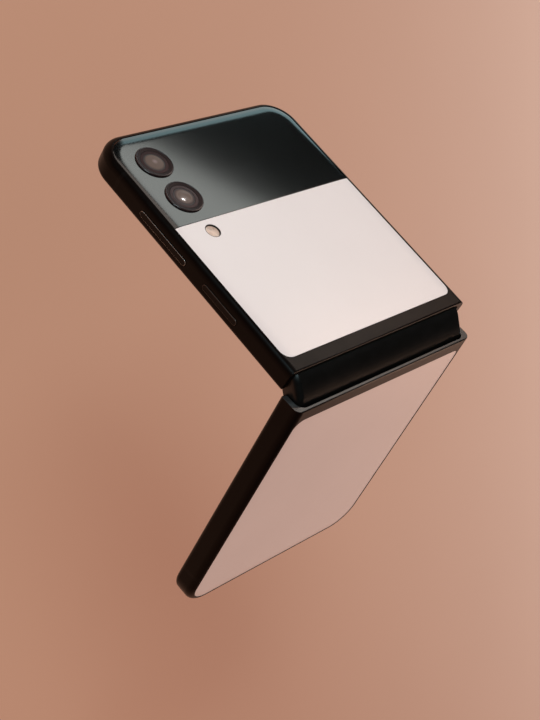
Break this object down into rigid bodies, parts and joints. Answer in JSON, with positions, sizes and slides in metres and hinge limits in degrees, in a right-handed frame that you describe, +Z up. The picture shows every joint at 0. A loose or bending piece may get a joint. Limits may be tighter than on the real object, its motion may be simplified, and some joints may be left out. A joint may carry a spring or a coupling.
{
  "type": "foldable smartphone",
  "caption": "Clamshell foldable smartphone standing half open as a tent: geared hinge under a rounded spine, flexible display, cover window with cameras, keys and card tray.",
  "frame": {"origin": "on the surface the phone stands on, under the middle of the hinge, with both free ends resting on it", "axes": "X along the hinge with the keys on the -X side, +Y towards the half that carries the cameras, +Z up through the spine"},
  "size_m": [0.0725, 0.1294, 0.0611],
  "materials": {
    "frame_black": "anodised aluminium, near-black, glossy",
    "key_black": "anodised, satin",
    "band_black": "moulded plastic, satin",
    "spine_black": "satin black metal",
    "cream_glass": "opaque cream back glass, soft satin",
    "cover_black": "opaque black gloss glass",
    "lens_glass": "dark coated glass",
    "ring_metal": "dark turned metal, glossy",
    "flash_beige": "clear window over a pale reflector",
    "screen_black": "flexible display, glossy film",
    "bezel_black": "soft matte bezel",
    "steel": "pressed steel",
    "cell": "cell in a dark grey pouch",
    "board_green": "circuit board",
    "chip_black": "moulded module",
    "copper": "copper foil or winding"
  },
  "bodies": {
    "spine": {"hinge_spine": "spine_black", "spine_end_caps": "spine_black", "hinge_brackets": "steel", "display_fold": "screen_black", "hinge_flex": "copper"},
    "upper_half": {"upper_frame": "frame_black", "upper_back_glass": "cream_glass", "cover_glass": "cover_black", "cover_display": "screen_black", "camera_rings": "ring_metal", "camera_windows": "lens_glass", "camera_modules": "chip_black", "flash_window": "flash_beige", "main_display_upper": "screen_black", "bezel_upper": "bezel_black", "upper_cell": "cell", "main_board": "board_green", "processor_shield": "steel", "earpiece": "chip_black", "front_camera": "chip_black", "card_reader": "steel", "key_switches": "copper", "antenna_bands_upper": "band_black", "board_screws_upper": "steel", "bezel_bumpers": "bezel_black", "hinge_arms_upper": "steel", "hinge_screws_upper": "steel", "wing_plate_upper": "steel"},
    "lower_half": {"lower_frame": "frame_black", "lower_back_glass": "cream_glass", "main_display_lower": "screen_black", "bezel_lower": "bezel_black", "lower_cell": "cell", "sub_board": "board_green", "usb_port": "steel", "loudspeaker": "chip_black", "vibration_motor": "steel", "charging_coil": "copper", "antenna_bands_lower": "band_black", "board_screws_lower": "steel", "hinge_arms_lower": "steel", "hinge_screws_lower": "steel", "wing_plate_lower": "steel"},
    "volume_rocker": {"volume_key": "key_black"},
    "power_button": {"power_key": "key_black"},
    "card_tray": {"sim_tray": "frame_black"},
    "timing_gear_upper": {"gear_outer_upper": "steel"},
    "timing_gear_idler_upper": {"gear_idler_upper": "steel"},
    "timing_gear_idler_lower": {"gear_idler_lower": "steel"},
    "timing_gear_lower": {"gear_outer_lower": "steel"}
  },
  "joints": [
    {"name": "upper_fold", "type": "hinge", "parent": "spine", "child": "upper_half", "pos_m": [0, 0.00175, 0.05516], "axis": [-1, 0, 0], "range_deg": [-43.25, 47.15], "deforming": ["display_fold"]},
    {"name": "lower_fold", "type": "hinge", "parent": "spine", "child": "lower_half", "pos_m": [0, -0.00175, 0.05516], "axis": [1, 0, 0], "range_deg": [-43.25, 47.15]},
    {"name": "upper_gear_spin", "type": "hinge", "parent": "spine", "child": "timing_gear_upper", "pos_m": [0, 0.003, 0.05817], "axis": [-1, 0, 0], "range_deg": [-43.25, 47.15]},
    {"name": "upper_idler_spin", "type": "hinge", "parent": "spine", "child": "timing_gear_idler_upper", "pos_m": [0, 0.001, 0.05817], "axis": [-1, 0, 0], "range_deg": [-47.15, 43.25]},
    {"name": "lower_idler_spin", "type": "hinge", "parent": "spine", "child": "timing_gear_idler_lower", "pos_m": [0, -0.001, 0.05817], "axis": [-1, 0, 0], "range_deg": [-43.25, 47.15]},
    {"name": "lower_gear_spin", "type": "hinge", "parent": "spine", "child": "timing_gear_lower", "pos_m": [0, -0.003, 0.05817], "axis": [-1, 0, 0], "range_deg": [-47.15, 43.25]},
    {"name": "volume_rock", "type": "hinge", "parent": "upper_half", "child": "volume_rocker", "pos_m": [-0.033, 0.03919, 0.0244], "axis": [0, 0.6852, 0.7284], "range_deg": [-0.9, 0.9], "stiffness_Nm_per_rad": 0.5},
    {"name": "power_press", "type": "slide", "parent": "upper_half", "child": "power_button", "axis": [1, 0, 0], "range_m": [0, 0.00025], "stiffness_N_per_m": 1500},
    {"name": "tray_pull", "type": "slide", "parent": "upper_half", "child": "card_tray", "axis": [1, 0, 0], "range_m": [0, 0.016]}
  ],
  "couplings": [
    {"joint": "lower_fold", "follows": "upper_fold", "ratio": 1},
    {"joint": "upper_gear_spin", "follows": "upper_fold", "ratio": 1},
    {"joint": "upper_idler_spin", "follows": "upper_fold", "ratio": -1},
    {"joint": "lower_idler_spin", "follows": "upper_fold", "ratio": 1},
    {"joint": "lower_gear_spin", "follows": "upper_fold", "ratio": -1}
  ]
}
